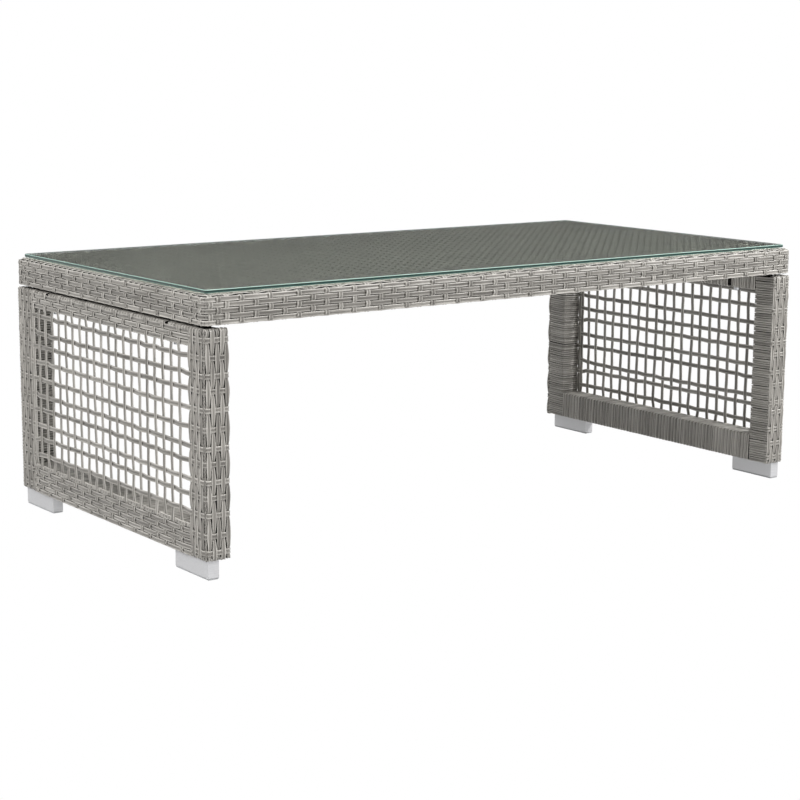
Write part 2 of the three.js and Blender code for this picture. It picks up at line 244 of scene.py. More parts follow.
# Rows are counted from the lowest on the outer face. Those before it go under the tube and up its inner face.
FIRST_ROW, FIRST_UNDER_ROW, FACE_ROWS = -9, -4, 5
LOWEST_PLACE = 1.5  # of row 0 up the outer face
EDGE_STEP = 4.8  # extra space where the rows go over the top edge
SKIN_ROWS = range(FIRST_ROW, FACE_ROWS)
EDGE_ROWS = range(FACE_ROWS, FACE_ROWS + 2)
ROWS = [*SKIN_ROWS, *EDGE_ROWS]
ROW_PLACES = {row: LOWEST_PLACE + row * ROW_PITCH + (EDGE_STEP if row in EDGE_ROWS else 0) for row in ROWS}
TUCKED = 4.5  # how far a strand's end goes on past the last strand that it crosses
EDGE_TUCK = 11.5  # the same for the deck's strands, whose ends turn down over the top edge
TUCKED_END = 1.0  # a tucked strand's last stretch, which stays level

# The skin's stretches up and down from the bottom of the outer face: each one's radius and length.
UPWARD = [(None, OUTER_RISE), (TOP_EDGE_RADIUS, TOP_ARC), (None, math.inf)]
DOWNWARD = [(LOW_EDGE_RADIUS, LOW_ARC), (None, UNDER_RUN), (LOW_EDGE_RADIUS, LOW_ARC), (None, math.inf)]


def skin(q):
    """Depth from the outer face, height and outward slope at q, a distance along the skin of a side.
    q is 0 low on the outer face. Up from there it goes over the top edge and on over the deck, and
    down from there it goes under the tube and up its inner face."""
    q = np.asarray(q, float)
    depth, height, slope = np.zeros_like(q), np.full_like(q, APRON_BOTTOM + LOW_EDGE_RADIUS), np.zeros_like(q)
    for way, stretches in ((1, UPWARD), (-1, DOWNWARD)):
        start, angle = 0.0, 0.0
        for radius, length in stretches:
            run = np.clip(way * q - start, 0, length)
            if radius is None:
                depth += run * math.sin(angle)
                height += way * run * math.cos(angle)
            else:
                turned = angle + run / radius
                depth += radius * (math.cos(angle) - np.cos(turned))
                height += way * radius * (np.sin(turned) - math.sin(angle))
                slope += way * run / radius
                angle += length / radius
            start += length
    return depth, height, slope


def upright_places(half, edge_gaps, pitch):
    """Places of the uprights along one side: closer together by the corners, even between them."""
    edges = [half - gap for gap in edge_gaps]
    count = round(2 * edges[-1] / pitch)
    even = np.linspace(-edges[-1], edges[-1], count + 1)
    return [*(-edge for edge in edges[:-1]), *even, *edges[:-1][::-1]]


EDGE_GAPS = (12.5, 26.0, 40.0)
LONG_PLACES = upright_places(HALF_LENGTH, EDGE_GAPS, 24.4)
SHORT_PLACES = upright_places(HALF_WIDTH, EDGE_GAPS, 23.6)

UP = np.array([0, 0, 1.0])
ALONG_X, ALONG_Y = np.array([1.0, 0, 0]), np.array([0, 1.0, 0])

# Each side: the ways along it and outward, how far out it lies, its half length and its uprights.
SIDES = {
    "front": (ALONG_X, -ALONG_Y, HALF_WIDTH, HALF_LENGTH, LONG_PLACES),
    "right": (ALONG_Y, ALONG_X, HALF_LENGTH, HALF_WIDTH, SHORT_PLACES),
    "rear": (-ALONG_X, ALONG_Y, HALF_WIDTH, HALF_LENGTH, LONG_PLACES),
    "left": (-ALONG_Y, -ALONG_X, HALF_LENGTH, HALF_WIDTH, SHORT_PLACES),
}

# The deck's lengthways strands fill the top between the edge rows of the front and the rear.
DECK_REACH = HALF_WIDTH - float(skin([ROW_PLACES[ROWS[-1]]])[0][0])
DECK_ROW_COUNT = 2 * round(DECK_REACH / ROW_PITCH) - 1
DECK_ROWS = np.linspace(-DECK_REACH, DECK_REACH, DECK_ROW_COUNT + 2)[1:-1]


def upright_is_over(row, index):
    """Rows and uprights are counted right round the weave, so neighbours always alternate."""
    return (row - FIRST_ROW + index) % 2 == 0


def apron_row(weave, row, rng):
    """One strand right round the tabletop."""
    depth, height, slope = (float(value[0]) for value in skin([ROW_PLACES[row]]))
    radius = max(CORNER_RADIUS - depth, TIGHTEST_TURN)
    path, normals, index = [], [], 0
    for name, (along, outward, distance, half, places) in SIDES.items():
        end = half - depth - radius
        over = [not upright_is_over(row, index + i) for i in range(len(places))]
        if row not in EDGE_ROWS:
            keys, values = close_keys(zip(places, over))
        else:
            crossed, heights = places, np.where(over, SPARE_OVER, SPARE_UNDER)
            if name in ("left", "right"):
                crossed, heights = DECK_ROWS[[0, -1]], [WRAPPED_ROW, WRAPPED_ROW]
            keys = np.array([-end, *crossed, end])
            values = np.array([CLOSE_REST, *heights, CLOSE_REST]) * STRAND_THICKNESS
        index += len(places)
        at = stations(-end, end, keys, values)
        lift = eased(at, keys, values) - MIDDLE_DEPTH
        normal = outward * math.cos(slope) + UP * math.sin(slope)
        base = along * at[:, None] + outward * (distance - depth) + UP * height
        path.append(base + normal * lift[:, None])
        normals.append(np.broadcast_to(normal, base.shape))
        angles = (np.arange(1, TURN_STEPS) / TURN_STEPS * QUARTER)[:, None]
        spread = outward * np.cos(angles) + along * np.sin(angles)
        centre = along * end + outward * (distance - depth - radius) + UP * height
        turned = spread * math.cos(slope) + UP * math.sin(slope)
        path.append(centre + spread * radius + turned * (CLOSE_REST * STRAND_THICKNESS - MIDDLE_DEPTH))
        normals.append(turned)
    section = BEADED if row >= 0 else PLAIN
    weave.add(np.concatenate(path), np.concatenate(normals), rng, section=section, closed=True)


def side_surface(q, outward, distance):
    """Points and normals at q along the skin of the side that faces outward."""
    depth, height, slope = skin(q)
    base = outward * (distance - depth)[:, None] + UP * height[:, None]
    normal = outward * np.cos(slope)[:, None] + UP * np.sin(slope)[:, None]
    return base, normal


def girth(half):
    """The skin's length from low on the outer face to the middle of the deck."""
    return OUTER_RISE + TOP_ARC + half - TOP_EDGE_RADIUS


def girdle(at, outward, half):
    """Points and normals over the table from edge to edge. at is 0 above the middle, negative on the
    near side and positive on the side that outward points to."""
    sign = np.where(at < 0, -1.0, 1.0)[:, None]
    return side_surface(girth(half) - np.abs(at), sign * outward, half)


def lay_strand(weave, surface, across, place, at, keys, values, rng, sway=SWAY, section=BEADED):
    """A strand over a surface of the tabletop, at place along across. surface gives the points and normals
    for at, the places along the strand."""
    lift = eased(at, keys, values) - MIDDLE_DEPTH
    aside = place + eased(at, keys, rng.normal(0, sway, len(keys)))
    base, normal = surface(at)
    weave.add(base + across * aside[:, None] + normal * lift[:, None], normal, rng, section=section)


def apron_uprights(weave, side, indexed_places, rows, first_index, rng):
    """Short strands that run up one side of the tabletop and end under its edge."""
    along, outward, distance, _, _ = SIDES[side]
    keys = [ROW_PLACES[row] for row in rows]

    def surface(at):
        return side_surface(at, outward, distance)
    for i, place in indexed_places:
        over = [upright_is_over(row, first_index + i) for row in rows]
        values = np.where(over, SPARE_OVER, SPARE_UNDER) * STRAND_THICKNESS
        at = stations(keys[0] - TUCKED, keys[-1] + TUCKED, keys, values)
        lay_strand(weave, surface, along, place, at, keys, values, rng)


def girdle_uprights(weave, indexed_places, rng):
    """Strands that run up the front, back over the deck and down the rear."""
    near = [ROW_PLACES[row] - girth(HALF_WIDTH) for row in ROWS]
    keys = np.array([*near, *DECK_ROWS, *(-key for key in near[::-1])])
    on_deck = np.isin(keys, DECK_ROWS)
    raised, sunk = np.where(on_deck, DECK_OVER, SPARE_OVER), np.where(on_deck, DECK_UNDER, SPARE_UNDER)

    def surface(at):
        return girdle(at, ALONG_Y, HALF_WIDTH)
    for i, place in indexed_places:
        over = (np.arange(len(keys)) + i) % 2 == 0
        values = np.where(over, raised, sunk) * STRAND_THICKNESS
        at = stations(keys[0] - TUCKED, keys[-1] + TUCKED, keys, values, bend=2.8)
        lay_strand(weave, surface, ALONG_X, place, at, keys, values, rng)


def deck_strand(weave, index, place, uprights, rng):
    """A lengthways strand of the deck. Every other one wraps over the edge rows at each end, and the
    ones between dive under them. Both are tucked in behind the apron's top row."""
    edge = [ROW_PLACES[row] - girth(HALF_LENGTH) for row in EDGE_ROWS]
    crossings = [(upright, (index + i) % 2 == 1) for i, upright in uprights]
    keys, values = close_keys(crossings, half_dip=3.8)
    wrapped = WRAP_UNDER if index % 2 else WRAP_OVER
    wrap = np.array([min(wrapped, CLOSE_UNDER), wrapped, wrapped]) * STRAND_THICKNESS
    start = [edge[0] - EDGE_TUCK, *edge]
    keys = np.concatenate([start, keys, -np.array(start[::-1])])
    values = np.concatenate([wrap, values, wrap[::-1]])

    def surface(at):
        return girdle(at, ALONG_X, HALF_LENGTH)
    at = stations(keys[0] - TUCKED_END, keys[-1] + TUCKED_END, keys, values, bend=3.2, run=12.0)
    lay_strand(weave, surface, ALONG_Y, place, at, keys, values, rng, DECK_SWAY, PLAIN)


def weave_tabletop(material):
    rng = np.random.default_rng(SEED)
    aprons = [f"woven_apron_{side}" for side in SIDES]
    groups = {
        "inner": range(FIRST_ROW, FIRST_UNDER_ROW),
        "under": range(FIRST_UNDER_ROW, 0),
        "face": range(FACE_ROWS),
        "edge": EDGE_ROWS,
    }
    for name, rows in groups.items():
        weave = Weave(f"apron_{name}_strands")
        for row in rows:
            apron_row(weave, row, rng)
        weave.build(material, *aprons)
    index = 0
    for side, (*_, places) in SIDES.items():
        indexed = list(enumerate(places))
        long_side = side in ("front", "rear")
        chosen = [indexed[0], indexed[-1]] if long_side else indexed
        weave = Weave(f"apron_upright_strands_{side}")
        apron_uprights(weave, side, chosen, ROWS if long_side else list(SKIN_ROWS), index, rng)
        weave.build(material, f"woven_apron_{side}")
        index += len(places)
    inner = list(enumerate(LONG_PLACES))[1:-1]
    half = len(inner) // 2
    for name, chosen in (("left", inner[:half]), ("right", inner[half:])):
        weave = Weave(f"deck_cross_strands_{name}")
        girdle_uprights(weave, chosen, rng)
        weave.build(material, "woven_deck", "woven_apron_front", "woven_apron_rear")
    deck_rows = list(enumerate(DECK_ROWS))
    half = DECK_ROW_COUNT // 2
    for name, chosen in (("front", deck_rows[:half]), ("rear", deck_rows[half:])):
        weave = Weave(f"deck_long_strands_{name}")
        for i, place in chosen:
            deck_strand(weave, i, place, inner, rng)
        weave.build(material, "woven_deck")


# ---- End panels: one sheet wraps the front post, the lattice with its rails, and the rear post ----

PANEL_CORNER = 6.0
LIP_RADIUS = 3.0
LEVEL_PITCH = 26.0
FIRST_LEVEL = 40.0
LEVELS = 13
OPEN_LEVELS = range(2, LEVELS - 1)  # the others lie beside the rails, on the posts only
COLUMNS = 11  # close upright strands on each post
COLUMN_START = 4.2  # from the opening to the first column's middle
COLUMN_PITCH = 7.85
FIRST_UPRIGHT = -228.0
UPRIGHT_PITCH = 23.8
UPRIGHTS = 20
REAR_PAIR = (242.3, 249.8)  # two more uprights, close together
LOW_ROWS, LOW_ROW_START = 6, 4.1  # close level strands on the bottom rail, and the first one's height there
HIGH_ROWS, HIGH_ROW_START = 3, 4.3  # the same on the top rail
ROW_TUCK = 2.5  # how far those strands go in under the posts' columns
UPRIGHT_WIDTH = 7.5
LEVEL_WIDTH = 7.7
LEVEL_TUCK = 3.4  # from the last column's middle to a level strand's end, which dives behind it
COLUMN_WIDE, COLUMN_NARROW = 7.8, 4.8  # where a column goes over a level strand, and where it goes under
CORNER_COLUMN = 5  # counted from the opening: it is a thin twisted cord
TWIST_PITCH = 5.0  # from where one of the cord's two strands lies on top to where the other does
TWIST_STEPS = 8  # in that length
CORD_STRAND, CORD_SPREAD, CORD_RISE, CORD_SUNK = 2.6, 1.0, 0.9, 0.2  # strand's width, and where it runs
FOLD = 8.0  # how far strands fold over the panel's top and under its bottom

# Handwork: the spread of each strand's wandering, and the most that it may be.
HEIGHT_WANDER, BOW_WANDER, TILT_WANDER, LEAN_WANDER = (2.6, 4.5), (1.6, 3.0), (1.2, 2.0), (1.0, 2.0)
SLIP_WANDER, RISE_WANDER = (0.25, 0.6), (0.4, 1.0)
LEAN_TURN = 0.45  # from level to level, as an upright leans one way and then the other
PAIR_FREEDOM = 0.15  # how much the close pair wanders, against 1 for the other uprights


def wander(rng, shape, spread, most):
    return np.clip(rng.normal(0, spread, shape), -most, most)


def panel_point(s, z, lift):
    """A point of the left panel's sheet and its normal. s runs along the outer face from the middle
    and on round both corners, z runs up it and folds over at the top and under at the bottom."""
    s, z, lift = np.broadcast_arrays(np.asarray(s, float), np.asarray(z, float), np.asarray(lift, float))
    straight = HALF_WIDTH - PANEL_CORNER
    past = np.clip(np.abs(s) - straight, 0, None)
    angle = np.minimum(past / PANEL_CORNER, QUARTER)
    run = np.clip(past - PANEL_CORNER * QUARTER, 0, None)
    sign = np.sign(s)
    x = -HALF_LENGTH + PANEL_CORNER * (1 - np.cos(angle)) + run
    y = sign * (np.minimum(np.abs(s), straight) + PANEL_CORNER * np.sin(angle))
    plan = np.stack([-np.cos(angle), sign * np.sin(angle), np.zeros_like(s)], axis=-1)
    above = np.clip(z - (PANEL_TOP - LIP_RADIUS), 0, None)
    below = np.clip((PANEL_BOTTOM + LIP_RADIUS) - z, 0, None)
    tilt = np.minimum(above / LIP_RADIUS, QUARTER) - np.minimum(below / LIP_RADIUS, QUARTER)
    fold = np.clip(above + below - LIP_RADIUS * QUARTER, 0, None)
    inward = LIP_RADIUS * (1 - np.cos(tilt)) + fold
    height = np.clip(z, PANEL_BOTTOM + LIP_RADIUS, PANEL_TOP - LIP_RADIUS) + LIP_RADIUS * np.sin(tilt)
    normal = plan * np.cos(tilt)[..., None] + UP * np.sin(tilt)[..., None]
    base = np.stack([x, y, height], axis=-1) - plan * inward[..., None]
    return base + normal * (lift - MIDDLE_DEPTH)[..., None], normal


class PanelPlan:
    """Where every strand of one panel's sheet runs, with the small wanderings of handwork."""

    def __init__(self, rng):
        even = FIRST_UPRIGHT + UPRIGHT_PITCH * np.arange(UPRIGHTS)
        self.uprights = np.concatenate([even, REAR_PAIR])
        half = POST_INNER + COLUMN_START + COLUMN_PITCH * np.arange(COLUMNS)
        self.columns = np.concatenate([-half[::-1], half])
        self.levels = FIRST_LEVEL + LEVEL_PITCH * np.arange(LEVELS)
        self.low_rows = PANEL_BOTTOM + LOW_ROW_START + ROW_PITCH * np.arange(LOW_ROWS)
        self.high_rows = RAIL_UNDER + HIGH_ROW_START + ROW_PITCH * np.arange(HIGH_ROWS)
        self.beside_rails = {0: self.low_rows[1], 1: self.low_rows[4], LEVELS - 1: self.high_rows[1]}
        # In the open part each level strand sits a little high or low and bows, and each upright leans.
        free = np.zeros((LEVELS, len(self.uprights)))
        free[OPEN_LEVELS] = 1
        free[:, -len(REAR_PAIR):] = PAIR_FREEDOM
        share = (self.uprights + POST_INNER) / (2 * POST_INNER)
        one_each = (1, len(self.uprights))
        height = wander(rng, (LEVELS, 1), *HEIGHT_WANDER)
        bow = wander(rng, (LEVELS, 1), *BOW_WANDER) * np.sin(np.pi * share)
        tilt = wander(rng, (LEVELS, 1), *TILT_WANDER) * (share - 0.5)
        lean = wander(rng, one_each, *LEAN_WANDER)
        swing = np.sin(np.arange(LEVELS)[:, None] * LEAN_TURN + rng.uniform(0, 6, one_each))
        self.slip = (lean * swing + wander(rng, free.shape, *SLIP_WANDER)) * free
        self.rise = (height + bow + tilt + wander(rng, free.shape, *RISE_WANDER)) * free
        self.post_rise = height[:, 0]

    def column_is_over(self, index, level):
        """Columns carry on the uprights' count, so neighbours always alternate."""
        skipped = 0 if index < COLUMNS else len(self.uprights)
        return (level + skipped + index - COLUMNS) % 2 == 0

    def over_columns(self, level, indices):
        """Heights of a spare level strand where it crosses a post's columns."""
        return [SPARE_UNDER if self.column_is_over(i, level) else SPARE_OVER for i in indices]


def panel_levels(weave, plan, rng):
    """Spare level strands: round one post, through the lattice, and round the other post."""
    front, rear = plan.columns[:COLUMNS], plan.columns[COLUMNS:]
    keys = np.array([front[0] - LEVEL_TUCK, *front, *plan.uprights, *rear, rear[-1] + LEVEL_TUCK])
    for k in OPEN_LEVELS:
        on_posts = plan.over_columns(k, range(2 * COLUMNS))
        in_lattice = [OPEN_LEVEL if (k + j) % 2 else -OPEN_LEVEL for j in range(len(plan.uprights))]
        values = [SPARE_UNDER, *on_posts[:COLUMNS], *in_lattice, *on_posts[COLUMNS:], SPARE_UNDER]
        values = np.array(values) * STRAND_THICKNESS
        at_post = np.full(COLUMNS + 1, plan.post_rise[k])
        rises = np.concatenate([at_post, plan.rise[k], at_post])
        at = stations(keys[0], keys[-1], keys, values)
        heights = plan.levels[k] + eased(at, keys, rises)
        weave.add(*panel_point(at, heights, eased(at, keys, values)), rng, width=LEVEL_WIDTH)


def rail_rows(weave, plan, heights, rng):
    """Close level strands over a rail, from post to post."""
    end = POST_INNER + ROW_TUCK
    for row, height in enumerate(heights):
        keys, values = close_keys([(s, (row + j) % 2 == 1) for j, s in enumerate(plan.uprights)])
        tucked = CLOSE_UNDER * STRAND_THICKNESS
        keys = np.concatenate([[-end + TUCKED_END], keys, [end - TUCKED_END]])
        values = np.concatenate([[tucked], values, [tucked]])
        at = stations(-end, end, keys, values)
        weave.add(*panel_point(at, height, eased(at, keys, values)), rng)


def post_levels(weave, plan, rng):
    """Spare level strands on the posts beside the rails, where the rails' own rows stop."""
    for k, height in plan.beside_rails.items():
        for first in (0, COLUMNS):
            columns = plan.columns[first:first + COLUMNS]
            keys = np.array([columns[0] - LEVEL_TUCK, *columns, columns[-1] + LEVEL_TUCK])
            values = plan.over_columns(k, range(first, first + COLUMNS))
            values = np.array([SPARE_UNDER, *values, SPARE_UNDER]) * STRAND_THICKNESS
            at = stations(keys[0], keys[-1], keys, values)
            weave.add(*panel_point(at, height, eased(at, keys, values)), rng, width=LEVEL_WIDTH)


def panel_uprights(weave, plan, rng):
    """Spare upright strands over the rails, which cross the level strands in the open part between."""
    for j, s in enumerate(plan.uprights):
        low = [SPARE_UNDER if (row + j) % 2 else SPARE_OVER for row in range(len(plan.low_rows))]
        open_part = [-OPEN_UPRIGHT if (k + j) % 2 else OPEN_UPRIGHT for k in OPEN_LEVELS]
        high = [SPARE_UNDER if (row + j) % 2 else SPARE_OVER for row in range(len(plan.high_rows))]
        values = np.array([*low, *open_part, *high]) * STRAND_THICKNESS
        slips = np.concatenate([np.zeros(len(low)), plan.slip[OPEN_LEVELS, j], np.zeros(len(high))])
        crossed = plan.levels[OPEN_LEVELS] + plan.rise[OPEN_LEVELS, j]
        keys = np.concatenate([plan.low_rows, crossed, plan.high_rows])
        at = stations(PANEL_BOTTOM - FOLD, PANEL_TOP + FOLD, keys, values)
        aside = s + eased(at, keys, slips)
        weave.add(*panel_point(aside, at, eased(at, keys, values)), rng, width=UPRIGHT_WIDTH)


def twisted_cord(weave, s, rng):
    """Two thin strands twisted round each other up a post's corner."""
    at = np.arange(PANEL_BOTTOM - FOLD, PANEL_TOP + FOLD, TWIST_PITCH / TWIST_STEPS)
    for turn in (0, math.pi):
        angle = math.pi * at / TWIST_PITCH + turn
        lift = CORD_RISE * np.sin(angle) - CORD_SUNK
        aside = s + CORD_SPREAD * np.cos(angle)
        weave.add(*panel_point(aside, at, lift), rng, width=CORD_STRAND, section=PLAIN)


def post_columns(weave, plan, first, rng):
    """Close upright strands round the outer and end faces of one post."""
    heights = plan.levels + plan.post_rise
    heights[list(plan.beside_rails)] = list(plan.beside_rails.values())
    corners = (COLUMNS - 1 - CORNER_COLUMN, COLUMNS + CORNER_COLUMN)
    for i in range(first, first + COLUMNS):
        if i in corners:
            twisted_cord(weave, plan.columns[i], rng)
            continue
        crossings = [(height, plan.column_is_over(i, k)) for k, height in enumerate(heights)]
        keys, values = close_keys(crossings, reach=11.0)
        at = stations(PANEL_BOTTOM - FOLD, PANEL_TOP + FOLD, keys, values)
        aside = plan.columns[i] + eased(at, plan.levels, rng.normal(0, SWAY, LEVELS))
        width = eased(at, heights, [COLUMN_WIDE if over else COLUMN_NARROW for _, over in crossings])
        weave.add(*panel_point(aside, at, eased(at, keys, values)), rng, width=width)


WRAP_CORNER = 3.5  # radius of a wound strand's turns
WRAP_STEP = 8.0
WRAP_SLOPE = 0.03  # sideways, for each millimetre round the tube
WRAP_WANDER = 0.25
POST_WRAP_START = 2.5  # from the panel's outer face to where a strand wound round a post starts
POST_WRAP_END = 2.0  # from the post's end face to where it stops
RAIL_WRAP_END = 1.0  # from the outer face to where a strand wound round a rail stops on its underside


def rounded_path(corners, radius, step):
    """A path through 2-D corners with rounded turns, and the normals on its left."""
    corners = [np.array(c, float) for c in corners]
    points = [corners[0]]
    for before, corner, after in zip(corners, corners[1:], corners[2:]):
        into = (corner - before) / np.linalg.norm(corner - before)
        out = (after - corner) / np.linalg.norm(after - corner)
        start = corner - into * radius
        centre = start + out * radius
        for part in range(TURN_STEPS + 1):
            angle = part / TURN_STEPS * QUARTER
            points.append(centre + radius * (into * math.sin(angle) - out * math.cos(angle)))
    points.append(corners[-1])
    dense = [points[0]]
    for point in points[1:]:
        parts = max(1, math.ceil(np.linalg.norm(point - dense[-1]) / step))
        start = dense[-1]
        dense.extend(start + (point - start) * (i + 1) / parts for i in range(parts))
    dense = np.array(dense)
    tangents = unit(np.gradient(dense, axis=0))
    return dense, np.stack([-tangents[:, 1], tangents[:, 0]], axis=1)


def wound(weave, corners, places, to_space, rng):
    """Strands wound side by side round a tube: one flat path repeated at each place, a little aslant."""
    flat, flat_normals = rounded_path(corners, WRAP_CORNER, WRAP_STEP)
    run = np.concatenate([[0], np.cumsum(np.linalg.norm(np.diff(flat, axis=0), axis=1))])
    sunk = flat - flat_normals * STRAND_THICKNESS / 2
    for place in places:
        lean = WRAP_SLOPE * (run - run[-1] / 2) + place + rng.normal(0, WRAP_WANDER)
        dip = rng.uniform(0, WRAP_WANDER)
        path = to_space(sunk - flat_normals * dip, lean)
        normals = to_space(flat_normals, np.zeros(len(flat)))
        weave.add(path, normals, rng, width=WRAP_WIDTH)


def wound_post(weave, end, rng):
    """Round the faces of a post that look at the opening and into the table. end is -1 at the front, 1 at
    the rear."""
    x0, x1 = -HALF_LENGTH + POST_WRAP_START, -HALF_LENGTH + PANEL_DEPTH
    corners = [(x0, -POST_INNER), (x1, -POST_INNER), (x1, POST_WRAP_END - HALF_WIDTH)]
    count = int((PANEL_TOP - PANEL_BOTTOM) / WRAP_PITCH)
    places = PANEL_BOTTOM + WRAP_PITCH * (np.arange(count) + 0.5)

    def to_space(flat, z):
        return np.stack([flat[:, 0], -end * flat[:, 1], z], axis=1)
    wound(weave, corners, places, to_space, rng)


def wound_rail(weave, low, high, rng):
    """Round the top, the inner face and the underside of a rail, from a short turn down its outer face."""
    x0, x1 = -HALF_LENGTH, -HALF_LENGTH + PANEL_DEPTH
    corners = [(x0, high - WRAP_TURN), (x0, high), (x1, high), (x1, low), (x0 + RAIL_WRAP_END, low)]
    reach = POST_INNER - WRAP_WIDTH / 2
    count = round(2 * reach / WRAP_PITCH) + 1
    places = np.linspace(-reach, reach, count)
    if high == PANEL_TOP:  # no room for a strand beside the spacers that the tabletop stands on
        places = [place for place in places if abs(abs(place) - SPACER_PLACE) > WRAP_PITCH / 2]

    def to_space(flat, y):
        return np.stack([flat[:, 0], y, flat[:, 1]], axis=1)
    wound(weave, corners, places, to_space, rng)


def weave_panel(side, material):
    mirrored = side == "right"
    rng = np.random.default_rng(PANEL_SEEDS[side])
    plan = PanelPlan(rng)

    levels = Weave(f"{side}_level_strands", mirrored)
    panel_levels(levels, plan, rng)
    post_levels(levels, plan, rng)
    levels.build(material, f"{side}_lattice")

    uprights = Weave(f"{side}_upright_strands", mirrored)
    panel_uprights(uprights, plan, rng)
    uprights.build(material, f"{side}_lattice")

    for rail, heights, low, high in (
        ("bottom", plan.low_rows, PANEL_BOTTOM, RAIL_TOP),
        ("top", plan.high_rows, RAIL_UNDER, PANEL_TOP),
    ):
        strands = Weave(f"{side}_{rail}_rail_strands", mirrored)
        rail_rows(strands, plan, heights, rng)
        wound_rail(strands, low, high, rng)
        strands.build(material, f"{side}_weave_{rail}_rail")

    for end, name, first in ((-1, "front", 0), (1, "rear", COLUMNS)):
        strands = Weave(f"{side}_{name}_post_strands", mirrored)
        post_columns(strands, plan, first, rng)
        wound_post(strands, end, rng)
        strands.build(material, f"{side}_weave_{name}_post")


# ---- Materials ----

def new_material(name):
    material = bpy.data.materials.new(name)
    material.use_nodes = True
    tree = material.node_tree
    return material, tree.nodes, tree.links, tree.nodes["Principled BSDF"]


def ramp(nodes, stops):
    node = nodes.new("ShaderNodeValToRGB")
    elements = node.color_ramp.elements
    while len(elements) < len(stops):
        elements.new(0.5)
    for element, (position, colour) in zip(elements, stops):
        element.position = position
        element.color = (*colour, 1)
    return node


def math_node(nodes, links, operation, first, second):
    node = nodes.new("ShaderNodeMath")
    node.operation = operation
    for socket, value in zip(node.inputs, (first, second)):
        if isinstance(value, (int, float)):
            socket.default_value = value
        else:
            links.new(value, socket)
    return node.outputs[0]


def noise_node(nodes, links, vector, scale, detail):
    noise = nodes.new("ShaderNodeTexNoise")
    noise.inputs["Scale"].default_value = scale
    noise.inputs["Detail"].default_value = detail
    links.new(vector, noise.inputs["Vector"])
    return noise


def stretched_noise(nodes, links, vector, stretch, detail):
    """Noise with its own number of cells per unit along each axis."""
    mapping = nodes.new("ShaderNodeMapping")
    mapping.inputs["Scale"].default_value = stretch
    links.new(vector, mapping.inputs["Vector"])
    return noise_node(nodes, links, mapping.outputs[0], 1, detail)


def mix_by_ray(nodes, links, share, first, second, output):
    """first is what other rays meet, and second what the rays of share meet."""
    mix = nodes.new("ShaderNodeMixShader")
    links.new(share, mix.inputs["Fac"])
    links.new(first, mix.inputs[1])
    links.new(second, mix.inputs[2])
    links.new(mix.outputs["Shader"], nodes[output].inputs["Surface"])


def strand_noise(nodes, links, coords, tone, across, along, detail):
    """Noise in cells per half width across the strand and per millimetre along it, new on each strand."""
    noise = stretched_noise(nodes, links, coords, (across, along, 1), detail)
    noise.noise_dimensions = "4D"
    links.new(math_node(nodes, links, "MULTIPLY", tone, 40.0), noise.inputs["W"])
    return noise.outputs["Fac"]


def link_colours(nodes, links, shader, value, stops):
    colours = ramp(nodes, stops)
    links.new(value, colours.inputs["Fac"])
    links.new(colours.outputs["Color"], shader.inputs["Base Color"])


def link_roughness(nodes, links, shader, value, least, most):
    rough = nodes.new("ShaderNodeMapRange")
    rough.inputs["To Min"].default_value = least
    rough.inputs["To Max"].default_value = most
    links.new(value, rough.inputs["Value"])
    links.new(rough.outputs[0], shader.inputs["Roughness"])


def link_bump(nodes, links, shader, height, strength, distance):
    bump = nodes.new("ShaderNodeBump")
    bump.inputs["Strength"].default_value = strength
    bump.inputs["Distance"].default_value = distance
    links.new(height, bump.inputs["Height"])
    links.new(bump.outputs[0], shader.inputs["Normal"])


def wicker_material(name, dark, middle, light):
    """Extruded plastic strand: streaks along it, beads paler than the hollow as a painted highlight on the
    beads and painted shade in the hollow, fine ridges and a soft gloss.
    """
    material, nodes, links, shader = new_material(name)
    coords = nodes.new("ShaderNodeUVMap")
    coords.uv_map = "strand"
    attribute = nodes.new("ShaderNodeAttribute")
    attribute.attribute_name = "tone"
    tone = attribute.outputs["Fac"]
    streaks = strand_noise(nodes, links, coords.outputs[0], tone, 5, 0.012, 3)
    patches = strand_noise(nodes, links, coords.outputs[0], tone, 0.5, 0.02, 2)
    fine = strand_noise(nodes, links, coords.outputs[0], tone, 16, 0.06, 2)
    axes = nodes.new("ShaderNodeSeparateXYZ")
    links.new(coords.outputs[0], axes.inputs[0])
    # Painted light: the colour grows lighter out towards the beads, a painted highlight, and darker in the
    # hollow between them, painted shade.
    bead = math_node(nodes, links, "ABSOLUTE", axes.outputs["X"], 0.0)
    bead = math_node(nodes, links, "POWER", bead, 1.5)
    tone_and_painted_bead_light = math_node(nodes, links, "MULTIPLY", streaks, 0.62)
    for part, share in ((patches, 0.26), (tone, 0.1), (bead, 0.3)):
        tone_and_painted_bead_light = math_node(nodes, links, "ADD", tone_and_painted_bead_light, math_node(nodes, links, "MULTIPLY", part, share))
    link_colours(nodes, links, shader, tone_and_painted_bead_light, [(0.42, dark), (0.6, middle), (0.8, light)])
    link_roughness(nodes, links, shader, fine, 0.3, 0.52)
    link_bump(nodes, links, shader, fine, 0.4, 0.3 * MM)
    return material


def metal_material(name, colour, roughness, grain, metallic=1.0):
    """Metal with fine brushed grain: grain is its cells per metre along each axis."""
    material, nodes, links, shader = new_material(name)
    coords = nodes.new("ShaderNodeTexCoord")
    brushed = stretched_noise(nodes, links, coords.outputs["Object"], grain, 4).outputs["Fac"]
    link_colours(nodes, links, shader, brushed, [(0.3, tuple(c * 0.86 for c in colour)), (0.7, colour)])
    link_roughness(nodes, links, shader, brushed, roughness - 0.08, roughness + 0.08)
    shader.inputs["Metallic"].default_value = metallic
    return material


